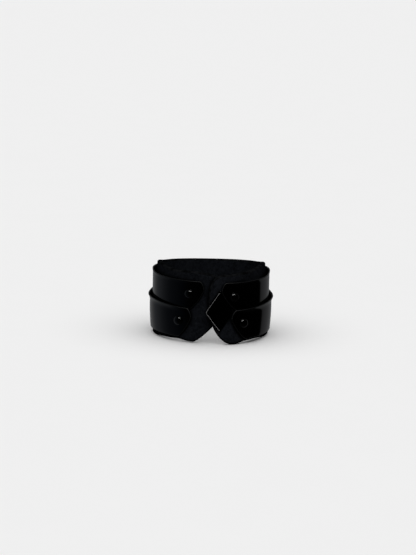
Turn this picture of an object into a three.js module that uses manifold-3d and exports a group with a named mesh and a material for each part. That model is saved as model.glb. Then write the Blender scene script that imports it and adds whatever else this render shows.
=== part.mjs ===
// Steel neck gorget: a soft collar pad that wraps the neck and laps over itself at the nape,
// two gloss black steel lames riveted over the pad, and a small lozenge plate on the outer flap.
// Millimetres, +Z up along the neck. The nape closure faces -Y, the throat +Y, the wearer's right +X.
import * as THREE from "three";
import { mergeVertices } from "three/addons/utils/BufferGeometryUtils.js";
import Module from "manifold-3d";

const wasm = await Module();
wasm.setup();

// Neck and pad
const collarHeight = 83; // highest point of the pad, below the ears
const neckHalfWidth = 55.5; // clear half width inside the pad at its top
const neckHalfDepth = 59; // clear half depth inside the pad at its top
const sideFlare = 4.5; // how much wider the pad stands at its foot, each side
const depthFlare = 2; // how much deeper the pad stands at its foot, front and back
const padThickness = 6;

// Closure at the nape
const outerFlapEnd = -2.1; // degrees round from the nape, just past the middle
const innerFlapEnd = 17; // degrees, where the inner flap ends under the outer one
const outerFlapDrop = 1.3; // how much lower the outer flap's top edge sits
const innerFlapRise = 1.1; // how much higher the inner flap's lower edge sits
const lapShoulder = 19; // degrees, where the outer flap starts to come down
const lapFoot = 52; // degrees, where the outer flap lies on the neck again
const lameLapFoot = 90; // degrees, where the stiff lames on the outer flap lie as close as elsewhere
const flapCut = 27; // how far from its end the outer flap reaches its full height
const hookThickness = 1; // closed hook tape between the flaps
const hookHalfHeight = 20;
const hookCorner = 3; // radius
const hookStart = -0.5; // degrees
const hookEnd = 12.5; // degrees

// Steel lames
const lameThickness = 1.6;
const upperLip = { out: 0.7, height: 4.5 }; // the top edge turns outwards by this much over this height
const lowerLip = { out: 2.2, height: 7 };
const lipFade = 24; // the lip grows from nothing over this length at each end
const upperStand = { foot: 0.8, head: 2.6 }; // how far the lames stand off the pad at the sides
const lowerStand = { foot: 0.75, head: 2 };
const lapReach = 0.72; // share of the lower lame's height where it clears the upper lame in full
const upperEnds = { outerFlap: 9.6, innerFlap: 6.7 }; // degrees from the nape to each end
const lowerEnds = { outerFlap: 18.1, innerFlap: 18.6 };
const lameCut = 15.5; // how far from its end a lame reaches its full height

// Rivets
const rivetInset = 12.6; // from a lame's end to the rivet, along the lame
const shankRadius = 1.7;
const headRadius = 5.2;
const headHeight = 3.6;
const headEdge = 0.5; // upright rim under the dome
const capRadius = 4.6;
const capThickness = 1;

// Lozenge plate on the outer flap
const plateLameSide = 15; // from its tall axis to the corner by the lames
const plateNapeSide = 17; // and to the corner by the nape
const plateHalfHeight = 23.5;
const plateCornerDrop = 1; // how far its side corners lie below its middle
const plateThickness = 1.2;
const plateBevel = 0.35;
const plateCorner = 2.4; // length of each side that a corner takes
const plateMiddle = 0.456; // height of its middle, as a share of the collar's height
const plateGap = 0.45; // between the plate's edge and the lames' ends

// Clearances
const seatGap = 0.3; // between pieces that rest on each other
const holeGap = 0.3; // round a rivet's shank

// How fine the curved walls are
const stationStep = 4; // degrees
const endStations = 8;
const tipShare = 0.002; // share of an end's reach left square at its tip
const roundSides = 16;
const plateSteps = 40; // heights at which the plate is set against the lames

// Rivet places: the inset as a share of the named one, and the height as a share of the collar's height.
const rivetPlaces = [
  { lame: "upper", flap: "outer", inset: 1, height: 0.649 },
  { lame: "upper", flap: "inner", inset: 1.3, height: 0.667 },
  { lame: "lower", flap: "outer", inset: 0.96, height: 0.296 },
  { lame: "lower", flap: "inner", inset: 1.11, height: 0.297 },
];

// Edge lines: height as a share of the collar's height, against degrees from the nape, alike on both sides.
const padTop = [
  { around: 0, height: 0.948 },
  { around: 24, height: 0.965 },
  { around: 42, height: 0.958 },
  { around: 50, height: 0.966 },
  { around: 76, height: 1 },
  { around: 92, height: 0.988 },
  { around: 118, height: 0.94 },
  { around: 180, height: 0.9 },
];
const padFoot = [
  { around: 20, height: 0 },
  { around: 34, height: 0.028 },
  { around: 54, height: 0.023 },
  { around: 84, height: 0 },
];
const upperTop = [
  { around: 8, height: 0.842 },
  { around: 60, height: 0.86 },
  { around: 100, height: 0.894 },
  { around: 180, height: 0.848 },
];
const upperFoot = [
  { around: 8, height: 0.463 },
  { around: 180, height: 0.492 },
];
const lowerTop = [
  { around: 18, height: 0.473 },
  { around: 50, height: 0.508 },
  { around: 72, height: 0.53 },
  { around: 92, height: 0.537 },
  { around: 120, height: 0.585 },
  { around: 180, height: 0.615 },
];
const lowerFoot = [
  { around: 18, height: 0.07 },
  { around: 60, height: 0.078 },
  { around: 180, height: 0.084 },
];

// End outlines: the tip's height as a share of the piece's own height there, and how far the edges above and
// below it run before the full height is reached, as a share of the cut. A bend of 1 is a straight slant and
// 2 a quarter ellipse.
const outerFlapShape = {
  tip: 0.578,
  cut: flapCut,
  above: { reach: 0.65, bend: 3 },
  below: { reach: 0.92, bend: 1.87 },
};
const innerFlapShape = {
  tip: 0.53,
  cut: flapCut,
  above: { reach: 0.89, bend: 2 },
  below: { reach: 1.36, bend: 1.21 },
};
const lameShape = {
  tip: 0.71,
  cut: lameCut,
  above: { reach: 0.32, bend: 1.6 },
  below: { reach: 1, bend: 1.3 },
};
const hookShape = {
  tip: 0.5,
  cut: hookCorner,
  above: { reach: 1, bend: 2 },
  below: { reach: 1, bend: 2 },
};

const degrees = Math.PI / 180;
const fullTurn = 360;
const lapStep = padThickness + hookThickness + 2 * seatGap; // the outer flap stands this far out
const lapClearance = lameThickness + seatGap; // the lower lame stands this far out over the upper one
const meanRadius = (neckHalfWidth + neckHalfDepth) / 2 + padThickness;
const degreesPerMillimetre = 1 / (meanRadius * degrees);

const share = (value, from, to) => THREE.MathUtils.clamp((value - from) / (to - from), 0, 1);
const smooth = (s) => s * s * (3 - 2 * s);

// Degrees from the nape, 0 to 180, on either side.
function fromNape(turn) {
  const around = Math.abs(turn) % fullTurn;
  return Math.min(around, fullTurn - around);
}

// A smooth line through a table's rows that never passes them.
function edgeHeight(rows, turn) {
  const around = fromNape(turn);
  const last = rows.length - 1;
  if (around <= rows[0].around) return rows[0].height * collarHeight;
  if (around >= rows[last].around) return rows[last].height * collarHeight;
  const i = rows.findIndex((row) => row.around > around) - 1;
  const rise = (k) => (rows[k + 1].height - rows[k].height) / (rows[k + 1].around - rows[k].around);
  const slope = (k) => {
    if (k === 0 || k === last || rise(k - 1) * rise(k) <= 0) return 0;
    return (2 * rise(k - 1) * rise(k)) / (rise(k - 1) + rise(k));
  };
  const step = rows[i + 1].around - rows[i].around;
  const s = (around - rows[i].around) / step;
  const height =
    rows[i].height * (1 + 2 * s) * (1 - s) ** 2 +
    slope(i) * step * s * (1 - s) ** 2 +
    rows[i + 1].height * s * s * (3 - 2 * s) +
    slope(i + 1) * step * s * s * (s - 1);
  return height * collarHeight;
}

// The point that lies a distance out from the neck, at a turn and a height.
function place(turn, height, out) {
  const drop = 1 - height / collarHeight;
  return new THREE.Vector3(
    (neckHalfWidth + sideFlare * drop + out) * Math.sin(turn * degrees),
    -(neckHalfDepth + depthFlare * drop + out) * Math.cos(turn * degrees),
    height,
  );
}

// How far the outer flap, and the lames on it, stand out over the inner flap, and how far the inner flap's
// lower edge rises.
const padLift = (turn) => lapStep * (1 - smooth(share(turn, lapShoulder, lapFoot)));
const innerRise = (turn) => innerFlapRise * (1 - smooth(share(fullTurn - turn, lapShoulder, lapFoot)));
const lameLift = (turn) => lapStep * (1 - smooth(share(turn, lapShoulder, lameLapFoot)));

// Distances out of the pad's and the lames' inner faces.
const padInside = (turn) => padLift(turn);
const padOutside = (turn) => padLift(turn) + padThickness;

function lip(lame, turn, height) {
  const top = edgeHeight(lame.top, turn);
  const fromEnd = Math.min(turn - lame.start, lame.end - turn) / degreesPerMillimetre;
  const rise = share(height, top - lame.lip.height, top);
  return lame.lip.out * rise * rise * smooth(share(fromEnd, 0, lipFade));
}

function lameInside(lame, turn, height) {
  const foot = edgeHeight(lame.foot, turn);
  const up = share(height, foot, edgeHeight(lame.top, turn));
  const sideways = Math.sin(turn * degrees) ** 2;
  const stand = sideways * THREE.MathUtils.lerp(lame.stand.foot, lame.stand.head, up);
  const over = lame.lap * Math.min(1, up / lapReach);
  return padThickness + lameLift(turn) + seatGap + stand + over + lip(lame, turn, height);
}

// The share of an end's height that is reached at a distance from its tip, above or below it, and the
// distance at which a share is reached.
function endHeight(shape, side, distance) {
  const s = Math.min(1, distance / (side.reach * shape.cut));
  return (1 - (1 - s) ** side.bend) ** (1 / side.bend);
}

function endDistance(shape, side, reached) {
  return side.reach * shape.cut * (1 - (1 - reached ** side.bend) ** (1 / side.bend));
}

// Stations along a strip: its turn, and its lower and upper edge with the shaped ends worked in.
// The drop is how much lower than its edge line the top sits, and the rise how much higher the foot does.
function stationsOf(strip) {
  const turns = [];
  const addEnd = (shape, from, way) => {
    const reach = Math.max(shape.above.reach, shape.below.reach) * shape.cut;
    for (let k = 0; k <= endStations; k++) {
      const s = Math.max(tipShare, 1 - Math.cos((k / endStations) * 90 * degrees));
      turns.push(from + way * s * reach * degreesPerMillimetre);
    }
    return from + way * reach * degreesPerMillimetre;
  };
  const firstFull = addEnd(strip.startShape, strip.start, 1);
  const lastFull = addEnd(strip.endShape, strip.end, -1);
  const steps = Math.max(1, Math.round((lastFull - firstFull) / stationStep));
  for (let k = 1; k < steps; k++) turns.push(firstFull + ((lastFull - firstFull) * k) / steps);
  turns.sort((a, b) => a - b);
  return turns.map((turn) => {
    const foot = edgeHeight(strip.foot, turn) + strip.rise(turn);
    const top = edgeHeight(strip.top, turn) - strip.drop(turn);
    const shape = turn - strip.start < strip.end - turn ? strip.startShape : strip.endShape;
    const distance = Math.min(turn - strip.start, strip.end - turn) / degreesPerMillimetre;
    const tip = foot + (top - foot) * shape.tip;
    return {
      turn,
      low: tip - (tip - foot) * endHeight(shape, shape.below, distance),
      high: tip + (top - tip) * endHeight(shape, shape.above, distance),
    };
  });
}

// One closed body between an inner and an outer face, through the strip's stations. The levels are the rows'
// shares of a station's height.
function stripGeometry(strip) {
  const stations = stationsOf(strip);
  const columns = stations.map(({ turn, low, high }) =>
    strip.levels.map((level) => low + (high - low) * level).map((height) => ({ turn, height })),
  );
  const rows = strip.levels.length;
  const positions = [];
  for (const face of [strip.outside, strip.inside]) {
    for (const column of columns) {
      for (const { turn, height } of column) {
        positions.push(...place(turn, height, face(turn, height)).toArray());
      }
    }
  }
  const outer = (i, j) => i * rows + j;
  const inner = (i, j) => columns.length * rows + i * rows + j;
  const index = [];
  const quad = (a, b, c, d) => index.push(a, b, c, a, c, d);
  const lastRow = rows - 1;
  const lastColumn = columns.length - 1;
  for (let i = 0; i < lastColumn; i++) {
    for (let j = 0; j < lastRow; j++) {
      quad(outer(i, j), outer(i + 1, j), outer(i + 1, j + 1), outer(i, j + 1));
      quad(inner(i, j), inner(i, j + 1), inner(i + 1, j + 1), inner(i + 1, j));
    }
    quad(outer(i, lastRow), outer(i + 1, lastRow), inner(i + 1, lastRow), inner(i, lastRow));
    quad(inner(i, 0), inner(i + 1, 0), outer(i + 1, 0), outer(i, 0));
  }
  for (let j = 0; j < lastRow; j++) {
    quad(outer(0, j), outer(0, j + 1), inner(0, j + 1), inner(0, j));
    quad(inner(lastColumn, j), inner(lastColumn, j + 1), outer(lastColumn, j + 1), outer(lastColumn, j));
  }
  const geometry = new THREE.BufferGeometry();
  geometry.setAttribute("position", new THREE.Float32BufferAttribute(positions, 3));
  return geometry.setIndex(index);
}

// A geometry as a solid for cutting, and back.
function solidOf(geometry) {
  const bare = geometry.clone();
  bare.deleteAttribute("normal");
  bare.deleteAttribute("uv");
  const merged = mergeVertices(bare, 1e-4);
  return new wasm.Manifold(
    new wasm.Mesh({
      numProp: 3,
      vertProperties: new Float32Array(merged.attributes.position.array),
      triVerts: new Uint32Array(merged.index.array),
    }),
  );
}

function geometryOf(solid) {
  const mesh = solid.getMesh();
  const geometry = new THREE.BufferGeometry();
  geometry.setAttribute("position", new THREE.BufferAttribute(mesh.vertProperties, 3));
  geometry.setIndex(new THREE.BufferAttribute(mesh.triVerts, 1));
  return geometry;
}

// A frame on a face: its point, and axes along the strip, up it and out of it.
function seatOn(face, turn, height) {
  const at = (t, h) => place(t, h, face(t, h));
  const small = 0.5;
  const point = at(turn, height);
  const along = at(turn + small, height).sub(at(turn - small, height)).normalize();
  const up = at(turn, height + small).sub(at(turn, height - small)).normalize();
  const out = new THREE.Vector3().crossVectors(along, up).normalize();
  up.crossVectors(out, along).normalize();
  return { point, along, up, out };
}

const lames = {
  upper: {
    top: upperTop,
    foot: upperFoot,
    stand: upperStand,
    lip: upperLip,
    lap: 0,
    start: upperEnds.outerFlap,
    end: fullTurn - upperEnds.innerFlap,
  },
  lower: {
    top: lowerTop,
    foot: lowerFoot,
    stand: lowerStand,
    lip: lowerLip,
    lap: lapClearance,
    start: lowerEnds.outerFlap,
    end: fullTurn - lowerEnds.innerFlap,
  },
};

// Points of the pad's inner face under a rivet's cap: its middle and a ring at its rim.
function underCap(turn, height) {
  const ring = Array.from({ length: roundSides }, (_, k) => (k / roundSides) * fullTurn * degrees);
  const spots = ring.map((a) => ({
    turn: turn + capRadius * degreesPerMillimetre * Math.cos(a),
    height: height + capRadius * Math.sin(a),
  }));
  return [{ turn, height }, ...spots].map((s) => place(s.turn, s.height, padInside(s.turn)));
}

// Rivets: one near each end of each lame. The grip is the depth from the lame's face to the cap's seat.
const rivets = rivetPlaces.map((spot) => {
  const lame = lames[spot.lame];
  const inset = spot.inset * rivetInset * degreesPerMillimetre;
  const turn = spot.flap === "outer" ? lame.start + inset : lame.end - inset;
  const height = spot.height * collarHeight;
  const seat = seatOn((t, h) => lameInside(lame, t, h) + lameThickness, turn, height);
  const depths = underCap(turn, height).map((point) => seat.point.clone().sub(point).dot(seat.out));
  return { name: `rivet_${spot.lame}_${spot.flap}`, on: spot.lame, seat, grip: Math.max(...depths) };
});

// Turns a shape made along its own Y axis so that Y points out of a seat.
function standOn(object, seat) {
  object.position.copy(seat.point);
  object.quaternion.setFromUnitVectors(new THREE.Vector3(0, 1, 0), seat.out);
  return object;
}

// The hole that a rivet's shank passes through, in the collar's frame.
function rivetHole({ seat, grip }) {
  const past = headRadius;
  const hole = new THREE.CylinderGeometry(
    shankRadius + holeGap,
    shankRadius + holeGap,
    grip + 2 * past,
    roundSides,
  );
  hole.translate(0, -grip / 2, 0);
  const turned = standOn(new THREE.Object3D(), seat);
  turned.updateMatrix();
  return hole.applyMatrix4(turned.matrix);
}

function drilled(geometry, through) {
  const holes = through.map((rivet) => solidOf(rivetHole(rivet)));
  return geometryOf(holes.reduce((solid, hole) => solid.subtract(hole), solidOf(geometry)));
}

// A domed rivet with its shank and the flat cap inside the pad, all one piece.
function rivetGeometry(grip) {
  const capTop = -grip - seatGap;
  const domeRise = headHeight - headEdge;
  const dome = [90, 72, 54, 36, 18, 0].map(
    (a) =>
      new THREE.Vector2(
        headRadius * Math.sin(a * degrees),
        seatGap + headEdge + domeRise * Math.cos(a * degrees),
      ),
  );
  const profile = [
    new THREE.Vector2(0, capTop - capThickness),
    new THREE.Vector2(capRadius, capTop - capThickness),
    new THREE.Vector2(capRadius, capTop),
    new THREE.Vector2(shankRadius, capTop),
    new THREE.Vector2(shankRadius, seatGap),
    new THREE.Vector2(headRadius, seatGap),
    ...dome,
  ];
  return new THREE.LatheGeometry(profile, roundSides);
}

// A lozenge with rounded corners, in its own XY plane, its back at z = 0.
function plateGeometry() {
  const corners = [
    new THREE.Vector2(plateLameSide, -plateCornerDrop),
    new THREE.Vector2(0, plateHalfHeight),
    new THREE.Vector2(-plateNapeSide, -plateCornerDrop),
    new THREE.Vector2(0, -plateHalfHeight),
  ];
  const towards = (from, to) => from.clone().add(to.clone().sub(from).setLength(plateCorner));
  const outline = new THREE.Shape();
  corners.forEach((corner, i) => {
    const before = towards(corner, corners[(i + 3) % 4]);
    const after = towards(corner, corners[(i + 1) % 4]);
    if (i === 0) outline.moveTo(before.x, before.y);
    else outline.lineTo(before.x, before.y);
    outline.quadraticCurveTo(corner.x, corner.y, after.x, after.y);
  });
  outline.closePath();
  const geometry = new THREE.ExtrudeGeometry(outline, {
    depth: plateThickness - 2 * plateBevel,
    bevelThickness: plateBevel,
    bevelSize: plateBevel,
    bevelOffset: -plateBevel,
    bevelSegments: 1,
    curveSegments: 5,
  });
  return geometry.translate(0, 0, plateBevel);
}

// Materials
const padCloth = new THREE.MeshStandardMaterial({ color: 0x121317, roughness: 0.95, metalness: 0 });
const blackSteel = new THREE.MeshStandardMaterial({ color: 0x08090b, roughness: 0.12, metalness: 0 });
const rivetBlack = new THREE.MeshStandardMaterial({ color: 0x0c0d0f, roughness: 0.25, metalness: 0.2 });
const plateBlack = new THREE.MeshStandardMaterial({ color: 0x050506, roughness: 0.08, metalness: 0 });
const hookTape = new THREE.MeshStandardMaterial({ color: 0x0d0d0f, roughness: 0.9, metalness: 0 });

function named(name, geometry, material) {
  const mesh = new THREE.Mesh(geometry, material);
  mesh.name = name;
  return mesh;
}

function collarPad() {
  const strip = {
    top: padTop,
    foot: padFoot,
    start: outerFlapEnd,
    end: fullTurn + innerFlapEnd,
    startShape: outerFlapShape,
    endShape: innerFlapShape,
    levels: [0, 0.5, 1],
    drop: (turn) => (outerFlapDrop * padLift(turn)) / lapStep,
    rise: innerRise,
    inside: padInside,
    outside: padOutside,
  };
  return named("collar_pad", drilled(stripGeometry(strip), rivets), padCloth);
}

function lameMesh(name) {
  const lame = lames[name];
  const strip = {
    ...lame,
    startShape: lameShape,
    endShape: lameShape,
    levels: [0, 0.45, lapReach, 0.88, 0.94, 1],
    drop: () => 0,
    rise: () => 0,
    inside: (turn, height) => lameInside(lame, turn, height),
    outside: (turn, height) => lameInside(lame, turn, height) + lameThickness,
  };
  const through = rivets.filter((rivet) => rivet.on === name);
  return named(`${name}_lame`, drilled(stripGeometry(strip), through), blackSteel);
}

function hookPatch() {
  const middle = outerFlapShape.tip * padTop[0].height;
  const strip = {
    top: [{ around: 0, height: middle + hookHalfHeight / collarHeight }],
    foot: [{ around: 0, height: middle - hookHalfHeight / collarHeight }],
    start: hookStart,
    end: hookEnd,
    startShape: hookShape,
    endShape: hookShape,
    levels: [0, 1],
    drop: () => 0,
    rise: () => 0,
    inside: () => padThickness + seatGap,
    outside: () => padThickness + seatGap + hookThickness,
  };
  return named("hook_patch", stripGeometry(strip), hookTape);
}

// The turn at which the plate clears the ends of both lames on the outer flap by its gap.
function plateTurn(height) {
  const radius = neckHalfDepth + lapStep + padThickness + seatGap;
  const turns = Object.values(lames).flatMap((lame) => {
    const foot = edgeHeight(lame.foot, lame.start);
    const top = edgeHeight(lame.top, lame.start);
    const tip = foot + (top - foot) * lameShape.tip;
    return Array.from({ length: plateSteps + 1 }, (_, k) => {
      const h = height + plateHalfHeight * ((2 * k) / plateSteps - 1);
      const over = h - height + plateCornerDrop;
      const reach = over > 0 ? plateHalfHeight + plateCornerDrop : plateHalfHeight - plateCornerDrop;
      const halfWidth = plateLameSide * (1 - Math.abs(over) / reach);
      const side = h < tip ? lameShape.below : lameShape.above;
      const reached = h < tip ? (tip - h) / (tip - foot) : (h - tip) / (top - tip);
      if (reached > 1) return Infinity;
      const edge = lame.start + endDistance(lameShape, side, reached) * degreesPerMillimetre;
      return edge - Math.atan((halfWidth + plateGap) / radius) / degrees;
    });
  });
  return Math.min(...turns);
}

function napePlate() {
  const height = plateMiddle * collarHeight;
  const seat = seatOn(padOutside, plateTurn(height), height);
  const plate = named("nape_plate", plateGeometry(), plateBlack);
  const basis = new THREE.Matrix4().makeBasis(seat.along, seat.up, seat.out);
  plate.quaternion.setFromRotationMatrix(basis);
  plate.position.copy(seat.point).addScaledVector(seat.out, seatGap);
  return plate;
}

const gorget = new THREE.Group();
gorget.name = "gorget";
gorget.add(collarPad());
for (const name of Object.keys(lames)) gorget.add(lameMesh(name));
for (const { name, seat, grip } of rivets) {
  gorget.add(standOn(named(name, rivetGeometry(grip), rivetBlack), seat));
}
gorget.add(napePlate());
gorget.add(hookPatch());

// The part's origin is the middle of its footprint, on the surface that it stands on.
const middle = new THREE.Box3().setFromObject(gorget).getCenter(new THREE.Vector3());
gorget.position.set(-middle.x, -middle.y, 0);

export default gorget;
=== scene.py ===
"""Steel neck gorget on a pale floor, seen from straight behind the wearer.

Lengths in the tables and sizes below are millimetres and become metres where a mesh is made.
"""

import math

import bpy
from mathutils import Matrix, Vector, noise


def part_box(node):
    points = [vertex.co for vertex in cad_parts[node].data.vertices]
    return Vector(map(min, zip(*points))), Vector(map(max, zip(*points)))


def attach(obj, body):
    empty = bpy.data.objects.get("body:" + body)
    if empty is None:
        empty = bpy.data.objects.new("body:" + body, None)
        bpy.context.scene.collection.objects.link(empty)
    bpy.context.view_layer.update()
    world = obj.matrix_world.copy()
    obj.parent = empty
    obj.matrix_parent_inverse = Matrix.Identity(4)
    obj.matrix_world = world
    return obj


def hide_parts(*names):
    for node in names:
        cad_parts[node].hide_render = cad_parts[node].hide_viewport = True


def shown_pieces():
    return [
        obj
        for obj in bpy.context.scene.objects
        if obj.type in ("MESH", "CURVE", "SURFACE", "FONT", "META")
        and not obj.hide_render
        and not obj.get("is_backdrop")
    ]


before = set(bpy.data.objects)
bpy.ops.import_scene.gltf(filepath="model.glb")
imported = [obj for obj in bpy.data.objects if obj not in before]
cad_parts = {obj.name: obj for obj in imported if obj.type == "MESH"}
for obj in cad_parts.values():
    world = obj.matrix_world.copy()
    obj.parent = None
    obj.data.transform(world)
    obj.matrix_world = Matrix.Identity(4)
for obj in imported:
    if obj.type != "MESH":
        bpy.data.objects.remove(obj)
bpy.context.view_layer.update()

# Photograph and camera
PICTURE_HEIGHT = 555  # pixels
MM_PER_PIXEL = 1.14
CAMERA_DISTANCE = 2000
CAMERA_ELEVATION = 10  # degrees
CAMERA_ROLL = 1.15  # degrees, the picture's right side lower
CAMERA_AIM = (-3.5, -2.98, 63.5)  # the point at the picture's middle, from the neck's axis

# Neck and pad
COLLAR_HEIGHT = 83
NECK_HALF_WIDTH = 55.5
NECK_HALF_DEPTH = 59
SIDE_FLARE = 4.5
DEPTH_FLARE = 2
PAD_THICKNESS = 6
PAD_EDGE = 1.8  # radius of the cut edges

# Closure at the nape
OUTER_FLAP_END = -2.1
INNER_FLAP_END = 17
OUTER_FLAP_DROP = 1.3
INNER_FLAP_RISE = 1.1
LAP_SHOULDER = 19
LAP_FOOT = 52
LAME_LAP_FOOT = 90
FLAP_CUT = 27
HOOK_THICKNESS = 1
HOOK_HALF_HEIGHT = 20
HOOK_START = -0.5
HOOK_END = 12.5
HOOK_CORNER = 3
HOOK_EDGE = 0.25

# Steel lames
LAME_THICKNESS = 1.6
LAME_EDGE = 0.7
LAME_CUT = 15.5
LIP_FADE = 24
LAP_REACH = 0.8  # share of the lower lame's height where it clears the upper lame in full

# Rivets
RIVET_INSET = 12.6
SHANK_RADIUS = 1.7
HEAD_RADIUS = 5.2
HEAD_HEIGHT = 3.6
HEAD_EDGE = 0.5
CAP_RADIUS = 4.6
CAP_THICKNESS = 1
CAP_ROUND = 0.4
HEAD_ROUND = 0.2

# Lozenge plate
PLATE_LAME_SIDE = 15  # from its tall axis to the corner by the lames
PLATE_NAPE_SIDE = 17
PLATE_HALF_HEIGHT = 23.5
PLATE_CORNER_DROP = 1
PLATE_THICKNESS = 1.2
PLATE_BEVEL = 0.35
PLATE_CORNER = 2.4
PLATE_TURN = 8.06
PLATE_MIDDLE = 0.456 * COLLAR_HEIGHT
LINE_INSET = 0.97  # silver line, from the plate's edge
LINE_WIDTH = 0.25
LINE_BACK = 0.02  # height of its back and face over the plate
LINE_FACE = 0.06

SEAT_GAP = 0.3
DEGREES = math.pi / 180
LAP_STEP = PAD_THICKNESS + HOOK_THICKNESS + 2 * SEAT_GAP
LAP_CLEARANCE = LAME_THICKNESS + SEAT_GAP
DEGREES_PER_MM = 1 / (((NECK_HALF_WIDTH + NECK_HALF_DEPTH) / 2 + PAD_THICKNESS) * DEGREES)

# Edge lines: degrees from the nape and height as a share of the collar's height.
PAD_TOP = [(0, 0.948), (24, 0.965), (42, 0.958), (50, 0.966), (76, 1), (92, 0.988), (118, 0.94), (180, 0.9)]
PAD_FOOT = [(20, 0), (34, 0.028), (54, 0.023), (84, 0)]
UPPER_TOP = [(8, 0.842), (60, 0.86), (100, 0.894), (180, 0.848)]
UPPER_FOOT = [(8, 0.463), (180, 0.492)]
LOWER_TOP = [(18, 0.473), (50, 0.508), (72, 0.53), (92, 0.537), (120, 0.585), (180, 0.615)]
LOWER_FOOT = [(18, 0.07), (60, 0.078), (180, 0.084)]

# End outlines: tip height as a share, cut, then reach and bend of the edges above and below the tip.
OUTER_FLAP_SHAPE = {"tip": 0.578, "cut": FLAP_CUT, "above": (0.65, 3), "below": (0.92, 1.87)}
INNER_FLAP_SHAPE = {"tip": 0.53, "cut": FLAP_CUT, "above": (0.89, 2), "below": (1.36, 1.21)}
LAME_SHAPE = {"tip": 0.71, "cut": LAME_CUT, "above": (0.32, 1.6), "below": (1, 1.3)}
HOOK_SHAPE = {"tip": 0.5, "cut": HOOK_CORNER, "above": (1, 2), "below": (1, 2)}

LAMES = {
    "upper": {
        "top": UPPER_TOP, "foot": UPPER_FOOT, "stand": (0.8, 2.6), "lap": 0,
        "lip": (0.7, 4.5), "start": 9.6, "end": 360 - 6.7,
    },
    "lower": {
        "top": LOWER_TOP, "foot": LOWER_FOOT, "stand": (0.75, 2), "lap": LAP_CLEARANCE,
        "lip": (2.2, 7), "start": 18.1, "end": 360 - 18.6,
    },
}

# Rivets: lame, flap, inset as a share of the named one, height as a share of the collar's height.
RIVETS = [
    ("upper", "outer", 1, 0.649),
    ("upper", "inner", 1.3, 0.667),
    ("lower", "outer", 0.96, 0.296),
    ("lower", "inner", 1.11, 0.297),
]

# The neck's axis in the row frame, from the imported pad.
pad_low, pad_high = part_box("collar_pad")
AXIS_X = (pad_low.x + pad_high.x) / 2 * 1000
AXIS_Y = pad_high.y * 1000 - (NECK_HALF_DEPTH + DEPTH_FLARE + PAD_THICKNESS)


def add_object(name, data):
    obj = bpy.data.objects.new(name, data)
    bpy.context.scene.collection.objects.link(obj)
    return obj


def clamp01(value):
    return max(0.0, min(1.0, value))


def share(value, start, end):
    return clamp01((value - start) / (end - start))


def smooth(s):
    return s * s * (3 - 2 * s)


def lerp(a, b, s):
    return a + (b - a) * s


def edge_height(rows, turn):
    """A smooth line through a table's rows that never passes them."""
    around = abs(turn) % 360
    around = min(around, 360 - around)
    last = len(rows) - 1
    if around <= rows[0][0]:
        return rows[0][1] * COLLAR_HEIGHT
    if around >= rows[last][0]:
        return rows[last][1] * COLLAR_HEIGHT
    i = next(k for k, row in enumerate(rows) if row[0] > around) - 1

    def rise(k):
        return (rows[k + 1][1] - rows[k][1]) / (rows[k + 1][0] - rows[k][0])

    def slope(k):
        if k in (0, last) or rise(k - 1) * rise(k) <= 0:
            return 0
        return 2 * rise(k - 1) * rise(k) / (rise(k - 1) + rise(k))

    step = rows[i + 1][0] - rows[i][0]
    s = (around - rows[i][0]) / step
    return COLLAR_HEIGHT * (
        rows[i][1] * (1 + 2 * s) * (1 - s) ** 2
        + slope(i) * step * s * (1 - s) ** 2
        + rows[i + 1][1] * s * s * (3 - 2 * s)
        + slope(i + 1) * step * s * s * (s - 1)
    )


def place(turn, height, out):
    """The point that lies a distance out from the neck, in millimetres in the row frame."""
    drop = 1 - height / COLLAR_HEIGHT
    return Vector((
        (NECK_HALF_WIDTH + SIDE_FLARE * drop + out) * math.sin(turn * DEGREES) + AXIS_X,
        -(NECK_HALF_DEPTH + DEPTH_FLARE * drop + out) * math.cos(turn * DEGREES) + AXIS_Y,
        height,
    ))


def pad_inside(turn, height=0):
    return LAP_STEP * (1 - smooth(share(turn, LAP_SHOULDER, LAP_FOOT)))


def inner_rise(turn):
    return INNER_FLAP_RISE * (1 - smooth(share(360 - turn, LAP_SHOULDER, LAP_FOOT)))


def lame_inside(lame, turn, height):
    """How far out of the neck a lame's inner face lies, with its lap, its lip and its stand-off."""
    top = edge_height(lame["top"], turn)
    foot = edge_height(lame["foot"], turn)
    up = share(height, foot, top)
    stand = math.sin(turn * DEGREES) ** 2 * lerp(*lame["stand"], up)
    over = lame["lap"] * math.sin(min(1, up / LAP_REACH) * 90 * DEGREES)
    from_end = min(turn - lame["start"], lame["end"] - turn) / DEGREES_PER_MM
    lip_out, lip_height = lame["lip"]
    lip = lip_out * share(height, top - lip_height, top) ** 2 * smooth(share(from_end, 0, LIP_FADE))
    lift = LAP_STEP * (1 - smooth(share(turn, LAP_SHOULDER, LAME_LAP_FOOT)))
    return PAD_THICKNESS + lift + SEAT_GAP + stand + over + lip


def end_height(shape, side, distance):
    """How far the edge has risen from the tip, as a share, at a distance in from the strip's end."""
    reach, bend = shape[side]
    s = min(1, distance / (reach * shape["cut"]))
    return (1 - (1 - s) ** bend) ** (1 / bend)


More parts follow.
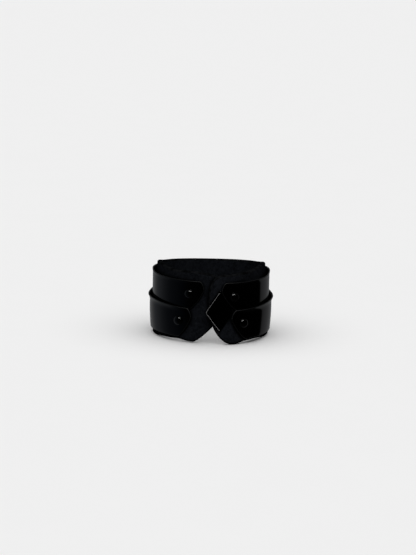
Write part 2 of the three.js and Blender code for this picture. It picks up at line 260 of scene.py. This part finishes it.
def stations_of(strip, step, end_stations):
    """(turn, lower edge, upper edge) along a strip, with its shaped ends worked in."""
    turns = []
    fulls = []
    for shape, start, way in ((strip["start_shape"], strip["start"], 1), (strip["end_shape"], strip["end"], -1)):
        reach = max(shape["above"][0], shape["below"][0]) * shape["cut"] * DEGREES_PER_MM
        for k in range(end_stations + 1):
            s = max(0.002, 1 - math.cos(k / end_stations * math.pi / 2))
            turns.append(start + way * s * reach)
        fulls.append(start + way * reach)
    steps = max(1, round((fulls[1] - fulls[0]) / step))
    turns += [lerp(fulls[0], fulls[1], k / steps) for k in range(1, steps)]
    rows = []
    for turn in sorted(turns):
        foot = edge_height(strip["foot"], turn) + strip["rise"](turn)
        top = edge_height(strip["top"], turn) - strip["drop"](turn)
        near_start = turn - strip["start"] < strip["end"] - turn
        shape = strip["start_shape"] if near_start else strip["end_shape"]
        distance = min(turn - strip["start"], strip["end"] - turn) / DEGREES_PER_MM
        tip = lerp(foot, top, shape["tip"])
        rows.append((
            turn,
            tip - (tip - foot) * end_height(shape, "below", distance),
            tip + (top - tip) * end_height(shape, "above", distance),
        ))
    return rows


def strip_object(name, strip, step=1.2, end_stations=22, edge_steps=4):
    """A closed strip with rounded edges. Faces of the edge get material 1, and the point attribute "rim" is
    1 at the edge and 0 on the two faces."""
    stations = stations_of(strip, step, end_stations)
    levels = strip["levels"]
    last_i, last_j = len(stations) - 1, len(levels) - 1
    flat = [
        [(turn / DEGREES_PER_MM, lerp(low, high, level)) for level in levels]
        for turn, low, high in stations
    ]
    # The outline, anticlockwise in the flat pattern, as (column, row).
    loop = [(i, 0) for i in range(last_i + 1)]
    loop += [(last_i, j) for j in range(1, last_j)]
    loop += [(i, last_j) for i in range(last_i, -1, -1)]
    loop += [(0, j) for j in range(last_j - 1, 0, -1)]
    inward = {}
    for k, (i, j) in enumerate(loop):
        before = flat[loop[k - 1][0]][loop[k - 1][1]]
        after_key = loop[(k + 1) % len(loop)]
        after = flat[after_key[0]][after_key[1]]
        along = Vector((after[0] - before[0], after[1] - before[1]))
        along = along.normalized() if along.length > 1e-9 else Vector((1, 0))
        inward[(i, j)] = Vector((-along.y, along.x))

    def inset_point(key, inset):
        x, y = flat[key[0]][key[1]]
        return x + inward[key].x * inset, y + inward[key].y * inset

    def solid_point(x, y, out):
        turn = x * DEGREES_PER_MM
        return place(turn, y, strip["inside"](turn, y) + out + strip["relief"](x, y, out)) * 0.001

    verts, faces, edge_faces, rim = [], [], [], []

    def add(point, edge):
        verts.append(point)
        rim.append(edge)
        return len(verts) - 1

    thickness, radius = strip["thickness"], strip["edge"]
    # Edge rings from the outer face round to the inner face: (inset, distance out).
    quarter = [k / edge_steps * math.pi / 2 for k in range(edge_steps + 1)]
    profile = [(radius * (1 - math.sin(a)), thickness - radius * (1 - math.cos(a))) for a in quarter]
    profile += [(radius * (1 - math.sin(a)), radius * (1 - math.cos(a))) for a in reversed(quarter)]
    rings = []
    for k, (inset, out) in enumerate(profile):
        edge = 0.0 if k in (0, len(profile) - 1) else 1.0
        rings.append([add(solid_point(*inset_point(key, inset), out), edge) for key in loop])
    count = len(loop)
    for k in range(len(rings) - 1):
        for m in range(count):
            n = (m + 1) % count
            edge_faces.append(len(faces))
            faces.append((rings[k][m], rings[k + 1][m], rings[k + 1][n], rings[k][n]))
    ring_place = {key: m for m, key in enumerate(loop)}
    for ring, out, flip in ((rings[0], thickness, False), (rings[-1], 0.0, True)):
        grid = []
        for i in range(last_i + 1):
            low = inset_point((i, 0), radius)
            high = inset_point((i, last_j), radius)
            column = []
            for j in range(last_j + 1):
                if (i, j) in ring_place:
                    column.append(ring[ring_place[(i, j)]])
                else:
                    x, y = lerp(low[0], high[0], levels[j]), lerp(low[1], high[1], levels[j])
                    column.append(add(solid_point(x, y, out), 0.0))
            grid.append(column)
        for i in range(last_i):
            for j in range(last_j):
                face = (grid[i][j], grid[i + 1][j], grid[i + 1][j + 1], grid[i][j + 1])
                faces.append(face[::-1] if flip else face)
    mesh = bpy.data.meshes.new(name)
    mesh.from_pydata(verts, [], faces)
    mesh.shade_smooth()
    attribute = mesh.attributes.new("rim", "FLOAT", "POINT")
    attribute.data.foreach_set("value", rim)
    for k in edge_faces:
        mesh.polygons[k].material_index = 1
    return add_object(name, mesh)


def seat_on(face, turn, height):
    """The point on a face and its axes: along the strip, up it and out of it."""
    def at(t, h):
        return place(t, h, face(t, h))

    point = at(turn, height)
    along = (at(turn + 0.5, height) - at(turn - 0.5, height)).normalized()
    up = (at(turn, height + 0.5) - at(turn, height - 0.5)).normalized()
    out = along.cross(up).normalized()
    up = out.cross(along).normalized()
    return point, along, up, out


def seat_matrix(point, along, up, out):
    rotation = Matrix((along, up, out)).transposed().to_4x4()
    return Matrix.Translation(point) @ rotation


def turned_object(name, profile, matrix, sides=56):
    """A turned piece: profile is (radius, height) from the axis to the axis, in millimetres."""
    verts, faces = [], []
    rings = []
    for radius, z in profile:
        if radius < 1e-6:
            verts.append(matrix @ Vector((0, 0, z)) * 0.001)
            rings.append([len(verts) - 1])
            continue
        ring = []
        for k in range(sides):
            a = 2 * math.pi * k / sides
            verts.append(matrix @ Vector((radius * math.cos(a), radius * math.sin(a), z)) * 0.001)
            ring.append(len(verts) - 1)
        rings.append(ring)
    for lower, upper in zip(rings, rings[1:]):
        for k in range(sides):
            n = (k + 1) % sides
            if len(lower) == 1:
                faces.append((lower[0], upper[n], upper[k]))
            elif len(upper) == 1:
                faces.append((lower[k], lower[n], upper[0]))
            else:
                faces.append((lower[k], lower[n], upper[n], upper[k]))
    mesh = bpy.data.meshes.new(name)
    mesh.from_pydata(verts, [], faces)
    mesh.shade_smooth()
    return add_object(name, mesh)


# Materials
# Painted shade in hollows between pieces: how far it reaches and its darkest factor.
PAINTED_SHADE_REACH = 0.006  # metres
PAINTED_SHADE_DARKEST = 0.1


def add_node(tree, kind, inputs=(), **settings):
    """A node with its settings; an input is a value or another node's socket."""
    made = tree.nodes.new(kind)
    for key, value in settings.items():
        setattr(made, key, value)
    for key, value in dict(inputs).items():
        if isinstance(value, bpy.types.NodeSocket):
            tree.links.new(value, made.inputs[key])
        else:
            made.inputs[key].default_value = value
    return made


class Nodes:
    """A material's node tree with its Principled shader, and short calls to add and join nodes."""

    def __init__(self, name):
        self.material = bpy.data.materials.new(name)
        self.material.use_nodes = True
        self.tree = self.material.node_tree
        self.shader = self.tree.nodes["Principled BSDF"]

    def node(self, kind, inputs=(), **settings):
        return add_node(self.tree, kind, inputs, **settings)

    def place(self):
        return self.node("ShaderNodeTexCoord").outputs["Object"]

    def noise(self, where, scale, detail=3.0, roughness=0.6):
        return self.node(
            "ShaderNodeTexNoise",
            {"Vector": where, "Scale": scale, "Detail": detail, "Roughness": roughness},
        ).outputs["Fac"]

    def spread(self, value, low, high, to_low=0.0, to_high=1.0):
        return self.node(
            "ShaderNodeMapRange",
            {"Value": value, "From Min": low, "From Max": high, "To Min": to_low, "To Max": to_high},
        ).outputs["Result"]

    def math(self, operation, a, b):
        return self.node("ShaderNodeMath", {0: a, 1: b}, operation=operation).outputs[0]

    def mix(self, factor, a, b):
        made = self.node("ShaderNodeMix", data_type="RGBA")
        for index, value in ((0, factor), (6, a), (7, b)):
            if isinstance(value, bpy.types.NodeSocket):
                self.tree.links.new(value, made.inputs[index])
            else:
                made.inputs[index].default_value = value
        return made.outputs[2]

    def paint_hollow_shade(self, reach, darkest):
        """Painted shade: 1 on open faces, falling to the darkest value in a hollow between two pieces."""
        open_sky = self.node("ShaderNodeAmbientOcclusion", {"Distance": reach}, samples=12).outputs["AO"]
        return self.spread(open_sky, 0.5, 0.92, darkest, 1.0)

    def bump(self, height, strength, distance, below=None):
        inputs = {"Height": height, "Strength": strength, "Distance": distance}
        if below is not None:
            inputs["Normal"] = below
        return self.node("ShaderNodeBump", inputs).outputs["Normal"]

    def set(self, **inputs):
        for key, value in inputs.items():
            name = key.replace("_", " ")
            if isinstance(value, bpy.types.NodeSocket):
                self.tree.links.new(value, self.shader.inputs[name])
            else:
                self.shader.inputs[name].default_value = value


def grey(level, blue=1.0):
    return (level, level * (1 + (blue - 1) * 0.3), level * blue, 1)


def felt_material():
    """Black felted cloth: matted short fibres, flecked lighter and darker, with painted shade that darkens it in
    hollows between pieces.
    """
    m = Nodes("black_felt")
    where = m.place()
    flecks = m.noise(where, 820, 4, 0.75)
    tufts = m.noise(where, 210, 3, 0.6)
    clouds = m.noise(where, 38, 2, 0.5)
    tone = m.math("ADD", m.math("MULTIPLY", flecks, 0.62), m.math("MULTIPLY", tufts, 0.28))
    tone = m.math("ADD", tone, m.math("MULTIPLY", clouds, 0.10))
    fibres = m.node(
        "ShaderNodeTexVoronoi", {"Vector": where, "Scale": 1500, "Randomness": 1.0}, feature="F1"
    ).outputs["Distance"]
    colour = m.mix(m.spread(tone, 0.36, 0.64), grey(0.0012, 1.4), grey(0.0185, 1.4))
    # Painted shade: the colour falls toward black in hollows between pieces.
    colour = m.mix(m.paint_hollow_shade(PAINTED_SHADE_REACH, PAINTED_SHADE_DARKEST), grey(0), colour)
    normal = m.bump(tone, 0.75, 0.0006)
    normal = m.bump(fibres, 0.35, 0.0002, normal)
    m.set(
        Base_Color=colour,
        Roughness=m.spread(tufts, 0.3, 0.7, 0.86, 0.97),
        Specular_IOR_Level=0.0,
        Sheen_Weight=0.002,
        Sheen_Roughness=0.6,
        Normal=normal,
    )
    return m.material


def cut_edge_material():
    """The cut edge of the foam under the felt: black with fine open pores, with painted shade that darkens it in
    hollows between pieces.
    """
    m = Nodes("cut_foam_edge")
    where = m.place()
    pores = m.node(
        "ShaderNodeTexVoronoi", {"Vector": where, "Scale": 1300, "Randomness": 1.0}, feature="F1"
    ).outputs["Distance"]
    patches = m.noise(where, 160, 3, 0.6)
    colour = m.mix(m.spread(patches, 0.35, 0.65), grey(0.002, 1.1), grey(0.012, 1.2))
    # Painted shade: the colour falls toward black in hollows between pieces.
    colour = m.mix(m.paint_hollow_shade(PAINTED_SHADE_REACH, PAINTED_SHADE_DARKEST), grey(0), colour)
    m.set(
        Base_Color=colour,
        Roughness=m.spread(patches, 0.3, 0.7, 0.8, 0.95),
        Specular_IOR_Level=0.0,
        Normal=m.bump(pores, 0.6, 0.0004),
    )
    return m.material


def enamel_material(name, level, rough, abrasion_and_highlight_amount, peel=0.35):
    """Gloss black enamel on steel: faint orange peel, fine handling marks, and paler flecks at the edges, partly
    abrasion and partly a painted highlight on the rims.
    """
    m = Nodes(name)
    where = m.place()
    rim = m.node("ShaderNodeAttribute", attribute_name="rim").outputs["Fac"]
    smears = m.noise(where, 60, 4, 0.65)
    specks = m.noise(where, 900, 3, 0.7)
    stretched = m.node("ShaderNodeMapping", {"Vector": where, "Scale": (1.0, 1.0, 14.0)}).outputs["Vector"]
    rubs = m.noise(stretched, 130, 4, 0.7)
    abrasion_and_highlight = m.math("MULTIPLY", rim, m.spread(specks, 0.52, 0.66))
    abrasion_and_highlight = m.math("MULTIPLY", abrasion_and_highlight, abrasion_and_highlight_amount)
    colour = m.mix(m.spread(smears, 0.35, 0.7), grey(level), grey(level * 1.8, 1.1))
    # Paler flecks along the rims: partly abrasion, partly a painted highlight.
    colour = m.mix(abrasion_and_highlight, colour, grey(0.03, 1.05))
    smeared = m.spread(smears, 0.35, 0.7, rough, rough * 1.45)
    roughness = m.math("ADD", smeared, m.spread(rubs, 0.56, 0.75, 0.0, 0.03))
    roughness = m.math("ADD", roughness, m.math("MULTIPLY", abrasion_and_highlight, 0.2))
    normal = m.bump(m.noise(where, 240, 2, 0.4), peel, 0.00002)
    m.set(Base_Color=colour, Roughness=roughness, Normal=normal)
    return m.material


def steel_edge_material():
    """The cut edge of the enamelled steel, duller than its faces and a little paler, the paleness a painted
    highlight along the rims.
    """
    m = Nodes("edge_painted_highlight")
    where = m.place()
    rubs = m.noise(where, 420, 4, 0.7)
    m.set(
        # Paler than the faces: a painted highlight along the rims.
        Base_Color=m.mix(m.spread(rubs, 0.35, 0.65), grey(0.003, 1.2), grey(0.008, 1.2)),
        Roughness=m.spread(rubs, 0.3, 0.7, 0.4, 0.55),
        Specular_IOR_Level=0.3,
        Normal=m.bump(rubs, 0.3, 0.00004),
    )
    return m.material


def silver_material():
    """A pale silver line, slightly grained."""
    m = Nodes("silver_line")
    where = m.place()
    grain = m.noise(where, 1400, 3, 0.7)
    m.set(
        Base_Color=m.mix(m.spread(grain, 0.3, 0.7), (0.50, 0.50, 0.505, 1), (0.72, 0.72, 0.725, 1)),
        Metallic=0.25,
        Roughness=m.spread(grain, 0.3, 0.7, 0.38, 0.5),
        Normal=m.bump(grain, 0.3, 0.00005),
    )
    return m.material


def tape_material():
    """Hook tape: rows of small loops."""
    m = Nodes("hook_tape")
    where = m.place()
    loops = m.node("ShaderNodeTexVoronoi", {"Vector": where, "Scale": 900, "Randomness": 0.5}).outputs["Distance"]
    m.set(
        Base_Color=m.mix(m.spread(loops, 0.1, 0.6), grey(0.004), grey(0.0012)),
        Roughness=0.9,
        Specular_IOR_Level=0.2,
        Normal=m.bump(loops, 0.8, 0.0005),
    )
    return m.material


def floor_material():
    """Pale studio floor with a very faint mottle."""
    m = Nodes("pale_floor")
    where = m.place()
    mottle = m.noise(where, 9, 4, 0.6)
    m.set(
        Base_Color=m.mix(mottle, (0.865, 0.865, 0.865, 1), (0.877, 0.877, 0.877, 1)),
        Roughness=m.spread(mottle, 0.3, 0.7, 0.9, 0.96),
        Specular_IOR_Level=0.0,
    )
    return m.material


felt = felt_material()
cut_edge = cut_edge_material()
enamel = enamel_material("black_enamel", 0.00012, 0.05, 0.5)
rivet_enamel = enamel_material("rivet_enamel", 0.0002, 0.07, 0.3)
plate_gloss = enamel_material("plate_gloss", 0.0001, 0.05, 0.3, peel=0.15)
steel_edge = steel_edge_material()
silver = silver_material()
tape = tape_material()


def finish_piece(obj, materials, node):
    for material in materials:
        obj.data.materials.append(material)
    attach(obj, "root")
    if node:
        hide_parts(node)
    return obj


def no_relief(x, y, out):
    return 0.0


def no_shift(turn):
    return 0.0


# Pad: felt over foam, with the slight unevenness of a pressed soft sheet.
def pad_relief(x, y, out):
    broad = noise.noise(Vector((x * 0.045, y * 0.05, 3.7)))
    fine = noise.noise(Vector((x * 0.16, y * 0.17, 9.1)))
    return 0.22 * broad + 0.07 * fine


pad = strip_object("collar_pad_felt", {
    "top": PAD_TOP, "foot": PAD_FOOT, "start": OUTER_FLAP_END, "end": 360 + INNER_FLAP_END,
    "start_shape": OUTER_FLAP_SHAPE, "end_shape": INNER_FLAP_SHAPE,
    "drop": lambda turn: OUTER_FLAP_DROP * pad_inside(turn) / LAP_STEP, "rise": inner_rise,
    "inside": pad_inside, "thickness": PAD_THICKNESS, "edge": PAD_EDGE,
    "relief": pad_relief, "levels": [k / 26 for k in range(27)],
})
finish_piece(pad, [felt, cut_edge], "collar_pad")

# Lames
LAME_LEVELS = [0.1 * k for k in range(9)] + [0.84, 0.87, 0.895, 0.915, 0.935, 0.955, 0.975, 1.0]
for lame_name, lame in LAMES.items():
    shell = strip_object(f"{lame_name}_lame_steel", {
        **lame, "start_shape": LAME_SHAPE, "end_shape": LAME_SHAPE, "drop": no_shift, "rise": no_shift,
        "inside": lambda turn, height, lame=lame: lame_inside(lame, turn, height),
        "thickness": LAME_THICKNESS, "edge": LAME_EDGE, "relief": no_relief, "levels": LAME_LEVELS,
    }, step=1.0, end_stations=26)
    finish_piece(shell, [enamel, steel_edge], f"{lame_name}_lame")

# Hook patch
hook_middle = OUTER_FLAP_SHAPE["tip"] * PAD_TOP[0][1]
patch = strip_object("hook_patch_tape", {
    "top": [(0, hook_middle + HOOK_HALF_HEIGHT / COLLAR_HEIGHT)],
    "foot": [(0, hook_middle - HOOK_HALF_HEIGHT / COLLAR_HEIGHT)],
    "start": HOOK_START, "end": HOOK_END, "start_shape": HOOK_SHAPE, "end_shape": HOOK_SHAPE,
    "drop": no_shift, "rise": no_shift, "inside": lambda turn, height: PAD_THICKNESS + SEAT_GAP,
    "thickness": HOOK_THICKNESS, "edge": HOOK_EDGE, "relief": no_relief, "levels": [k / 8 for k in range(9)],
}, end_stations=8)
finish_piece(patch, [tape, tape], "hook_patch")


# Rivets
def rivet_profile(grip):
    """From the cap inside the pad to the top of the domed head, as (radius, height out of the lame)."""
    cap_top = -grip - SEAT_GAP
    rows = [
        (0, cap_top - CAP_THICKNESS),
        (CAP_RADIUS - CAP_ROUND, cap_top - CAP_THICKNESS),
        (CAP_RADIUS - 0.25 * CAP_ROUND, cap_top - CAP_THICKNESS + 0.3 * CAP_ROUND),
        (CAP_RADIUS, cap_top - CAP_THICKNESS + CAP_ROUND),
        (CAP_RADIUS, cap_top),
        (SHANK_RADIUS, cap_top),
        (SHANK_RADIUS, SEAT_GAP),
        (HEAD_RADIUS - HEAD_ROUND, SEAT_GAP),
        (HEAD_RADIUS, SEAT_GAP + 0.9 * HEAD_ROUND),
    ]
    rise = HEAD_HEIGHT - HEAD_EDGE
    for k in range(15):
        a = (90 - 90 * k / 14) * DEGREES
        rows.append((HEAD_RADIUS * math.sin(a), SEAT_GAP + HEAD_EDGE + rise * math.cos(a)))
    return rows


def cap_depths(turn, height, point, out):
    """How deep the pad's inner face lies under the lame, at the cap's middle and round its rim."""
    spots = [(turn, height)]
    for k in range(16):
        a = k / 16 * 2 * math.pi
        spots.append((turn + CAP_RADIUS * DEGREES_PER_MM * math.cos(a), height + CAP_RADIUS * math.sin(a)))
    return [(point - place(t, h, pad_inside(t))).dot(out) for t, h in spots]


for lame_name, flap, inset, height_share in RIVETS:
    lame = LAMES[lame_name]
    inset_turn = inset * RIVET_INSET * DEGREES_PER_MM
    turn = lame["start"] + inset_turn if flap == "outer" else lame["end"] - inset_turn
    height = height_share * COLLAR_HEIGHT
    seat = seat_on(lambda t, h, lame=lame: lame_inside(lame, t, h) + LAME_THICKNESS, turn, height)
    grip = max(cap_depths(turn, height, seat[0], seat[3]))
    rivet = turned_object(f"rivet_{lame_name}_{flap}_head", rivet_profile(grip), seat_matrix(*seat))
    finish_piece(rivet, [rivet_enamel], f"rivet_{lame_name}_{flap}")


# Lozenge plate
def lozenge(inset, corner_steps=7):
    """The plate's outline in its own plane, anticlockwise from the right corner, moved in by an inset."""
    half = (PLATE_LAME_SIDE + PLATE_NAPE_SIDE) / 2
    shrink = 1 - inset * math.hypot(half, PLATE_HALF_HEIGHT) / (half * PLATE_HALF_HEIGHT)
    corners = [Vector((PLATE_LAME_SIDE, -PLATE_CORNER_DROP)), Vector((0, PLATE_HALF_HEIGHT))]
    corners += [Vector((-PLATE_NAPE_SIDE, -PLATE_CORNER_DROP)), Vector((0, -PLATE_HALF_HEIGHT))]
    corners = [c * shrink for c in corners]
    points = []
    for k, corner in enumerate(corners):
        before = corner + (corners[k - 1] - corner).normalized() * PLATE_CORNER * shrink
        after = corner + (corners[(k + 1) % 4] - corner).normalized() * PLATE_CORNER * shrink
        for n in range(corner_steps + 1):
            s = n / corner_steps
            points.append(before * (1 - s) ** 2 + corner * 2 * s * (1 - s) + after * s * s)
    return points


def plate_object(name, matrix):
    rings = []
    verts, faces = [], []
    steps = 4
    quarter = [k / steps * math.pi / 2 for k in range(steps + 1)]
    profile = [(0.0, 0.0)] + [
        (PLATE_BEVEL * (1 - math.cos(a)), PLATE_THICKNESS - PLATE_BEVEL * (1 - math.sin(a))) for a in quarter
    ]
    for inset, z in profile:
        ring = []
        for p in lozenge(inset):
            verts.append(matrix @ Vector((p.x, p.y, z + SEAT_GAP)) * 0.001)
            ring.append(len(verts) - 1)
        rings.append(ring)
    count = len(rings[0])
    for lower, upper in zip(rings, rings[1:]):
        for k in range(count):
            n = (k + 1) % count
            faces.append((lower[k], lower[n], upper[n], upper[k]))
    faces.append(tuple(reversed(rings[0])))
    faces.append(tuple(rings[-1]))
    mesh = bpy.data.meshes.new(name)
    mesh.from_pydata(verts, [], faces)
    mesh.shade_smooth()
    mesh.polygons[len(faces) - 1].use_smooth = False
    mesh.polygons[len(faces) - 2].use_smooth = False
    return add_object(name, mesh)


def line_object(name, matrix):
    """The silver line along the plate's two edges on the side of the nape."""
    inner, outer = lozenge(LINE_INSET + LINE_WIDTH, 7), lozenge(LINE_INSET, 7)
    steps = len(inner) // 4
    first, last = steps + steps // 2, 3 * steps + steps // 2
    verts, faces = [], []
    for k in range(first, last + 1):
        for p, z in ((outer[k], LINE_BACK), (outer[k], LINE_FACE), (inner[k], LINE_FACE), (inner[k], LINE_BACK)):
            verts.append(matrix @ Vector((p.x, p.y, SEAT_GAP + PLATE_THICKNESS + z)) * 0.001)
    columns = last - first
    for k in range(columns):
        a, b = 4 * k, 4 * (k + 1)
        for n in range(4):
            m = (n + 1) % 4
            faces.append((a + n, b + n, b + m, a + m))
    faces.append((0, 1, 2, 3))
    end = 4 * columns
    faces.append((end + 3, end + 2, end + 1, end))
    mesh = bpy.data.meshes.new(name)
    mesh.from_pydata(verts, [], faces)
    return add_object(name, mesh)


plate_seat = seat_matrix(*seat_on(lambda t, h: pad_inside(t) + PAD_THICKNESS, PLATE_TURN, PLATE_MIDDLE))
plate = plate_object("nape_plate_gloss", plate_seat)
finish_piece(plate, [plate_gloss], "nape_plate")
line = line_object("nape_plate_line", plate_seat)
finish_piece(line, [silver], None)

# Floor
FLOOR_HALF = 40.0  # metres
floor_mesh = bpy.data.meshes.new("studio_floor")
half = FLOOR_HALF
floor_mesh.from_pydata(
    [(-half, -half, 0), (half, -half, 0), (half, half, 0), (-half, half, 0)], [], [(0, 1, 2, 3)]
)
floor = add_object("studio_floor", floor_mesh)
floor_mesh.materials.append(floor_material())
floor.visible_glossy = False
floor.visible_diffuse = False
floor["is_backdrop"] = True

# Studio: an even pale surround for the floor and the cloth, and a dim room with light side walls that
# the gloss reflects.
SURROUND = 0.1
ROOM = [  # degrees round from the camera, right side positive, and brightness
    (-180, 0.2), (-158, 0.2), (-149, 0.21), (-142, 0.18), (-137, 0.165), (-131, 0.145), (-123, 0.132),
    (-115, 0.128), (-104, 0.098), (-89, 0.06), (-76, 0.046), (-58, 0.022), (-43, 0.007), (-20, 0.001),
    (0, 0.0006), (60, 0.0006), (114, 0.002), (117.5, 0.012), (121, 0.12), (126, 0.14), (150, 0.14),
    (165, 0.16), (180, 0.18),
]
LEFT_WALL_BLUE = 0.011
CEILING = 0.04
GLOW = 0.015  # added light from below
CEILING_RISE = (0.5, 0.75)  # upward share of a direction where the ceiling comes in
GLOW_FALL = (-0.3, -0.7)
BACKDROP = 0.871
SOFTBOX_WIDTH = 1.7  # metres
SOFTBOX_HEIGHT = 0.3
SOFTBOX_RADIANCE = 11.3
FLOOR_LIGHT = 0.9
LAMP_DISTANCE = 2.0  # metres

world = bpy.data.worlds.new("studio")
bpy.context.scene.world = world
world.use_nodes = True
tree = world.node_tree
tree.nodes.clear()


def world_node(kind, inputs=(), **settings):
    return add_node(tree, kind, inputs, **settings)


way = world_node("ShaderNodeSeparateXYZ", {0: world_node("ShaderNodeTexCoord").outputs["Generated"]})
toward_camera = world_node("ShaderNodeMath", {0: way.outputs["Y"], 1: -1.0}, operation="MULTIPLY")
around = world_node(
    "ShaderNodeMath", {0: way.outputs["X"], 1: toward_camera.outputs[0]}, operation="ARCTAN2"
)
along_room = world_node(
    "ShaderNodeMapRange",
    {"Value": around.outputs[0], "From Min": -math.pi, "From Max": math.pi, "To Min": 0.0, "To Max": 1.0},
)
room = world_node("ShaderNodeValToRGB", {"Fac": along_room.outputs["Result"]})
ramp = room.color_ramp
while len(ramp.elements) > 1:
    ramp.elements.remove(ramp.elements[-1])
for k, (angle, level) in enumerate(ROOM):
    at = (angle + 180) / 360
    element = ramp.elements[0] if k == 0 else ramp.elements.new(at)
    element.position = at
    cool = LEFT_WALL_BLUE if -135 < angle < -50 else 0
    element.color = (level * 0.98 - cool / 2, level, level * 1.03 + cool, 1)
high = world_node(
    "ShaderNodeMapRange",
    {
        "Value": way.outputs["Z"], "From Min": CEILING_RISE[0], "From Max": CEILING_RISE[1],
        "To Min": 0.0, "To Max": 1.0,
    },
)
lit_room = world_node("ShaderNodeMix", data_type="RGBA")
tree.links.new(high.outputs["Result"], lit_room.inputs[0])
tree.links.new(room.outputs["Color"], lit_room.inputs[6])
lit_room.inputs[7].default_value = (CEILING, CEILING, CEILING, 1)
low = world_node(
    "ShaderNodeMapRange",
    {"Value": way.outputs["Z"], "From Min": GLOW_FALL[0], "From Max": GLOW_FALL[1], "To Min": 0.0, "To Max": 1.0},
)
glowing_room = world_node("ShaderNodeMix", data_type="RGBA", blend_type="ADD")
tree.links.new(low.outputs["Result"], glowing_room.inputs[0])
tree.links.new(lit_room.outputs[2], glowing_room.inputs[6])
glowing_room.inputs[7].default_value = (GLOW, GLOW, GLOW, 1)
even = world_node("ShaderNodeBackground", {"Color": (1, 1, 1, 1), "Strength": SURROUND})
seen = world_node("ShaderNodeBackground", {"Color": (BACKDROP, BACKDROP, BACKDROP, 1), "Strength": 1.0})
reflected = world_node("ShaderNodeBackground", {"Color": glowing_room.outputs[2], "Strength": 1.0})
path = world_node("ShaderNodeLightPath")
first_mix = world_node("ShaderNodeMixShader", {0: path.outputs["Is Glossy Ray"]})
tree.links.new(even.outputs[0], first_mix.inputs[1])
tree.links.new(reflected.outputs[0], first_mix.inputs[2])
second_mix = world_node("ShaderNodeMixShader", {0: path.outputs["Is Camera Ray"]})
tree.links.new(first_mix.outputs[0], second_mix.inputs[1])
tree.links.new(seen.outputs[0], second_mix.inputs[2])
out_node = world_node("ShaderNodeOutputWorld")
tree.links.new(second_mix.outputs[0], out_node.inputs["Surface"])


def lamp(name, data, azimuth, elevation, receivers):
    """A lamp at degrees round from the camera's side and above the floor, for the named objects alone."""
    obj = add_object(name, data)
    to_lamp = Vector((
        math.sin(azimuth * DEGREES) * math.cos(elevation * DEGREES),
        -math.cos(azimuth * DEGREES) * math.cos(elevation * DEGREES),
        math.sin(elevation * DEGREES),
    ))
    obj.rotation_euler = to_lamp.to_track_quat("Z", "Y").to_euler()
    obj.location = to_lamp * LAMP_DISTANCE
    lit = bpy.data.collections.new(f"{name}_receivers")
    bpy.context.scene.collection.children.link(lit)
    for receiver in receivers:
        lit.objects.link(receiver)
    obj.light_linking.receiver_collection = lit


softbox = bpy.data.lights.new("softbox", "AREA")
softbox.shape = "RECTANGLE"
softbox.size = SOFTBOX_WIDTH
softbox.size_y = SOFTBOX_HEIGHT
softbox.energy = SOFTBOX_RADIANCE * math.pi * softbox.size * softbox.size_y
lamp("softbox", softbox, 2, 52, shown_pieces())

# The floor has a broad lamp of its own, which keeps its tone even.
floor_light = bpy.data.lights.new("floor_light", "SUN")
floor_light.energy = FLOOR_LIGHT * math.pi
floor_light.angle = 120 * DEGREES
lamp("floor_light", floor_light, 0, 85, [floor])

bpy.context.scene.view_settings.view_transform = "Standard"
bpy.context.scene.view_settings.look = "None"

# Camera
camera_data = bpy.data.cameras.new("camera")
camera_data.sensor_width = 36
camera_data.lens = 36 * (CAMERA_DISTANCE / MM_PER_PIXEL) / PICTURE_HEIGHT
camera_data.clip_start = 0.05
camera_data.clip_end = 200
camera = add_object("camera", camera_data)
tilt, roll = CAMERA_ELEVATION * DEGREES, CAMERA_ROLL * DEGREES
back = Vector((0, -math.cos(tilt), math.sin(tilt)))
right = Vector((1, 0, 0))
up = back.cross(right)
rolled_right = right * math.cos(roll) + up * math.sin(roll)
rolled_up = up * math.cos(roll) - right * math.sin(roll)
turned = Matrix((rolled_right, rolled_up, back)).transposed().to_4x4()
aim = Vector(CAMERA_AIM) + Vector((AXIS_X, AXIS_Y, 0))
camera.matrix_world = Matrix.Translation((aim + back * CAMERA_DISTANCE) * 0.001) @ turned
bpy.context.scene.camera = camera
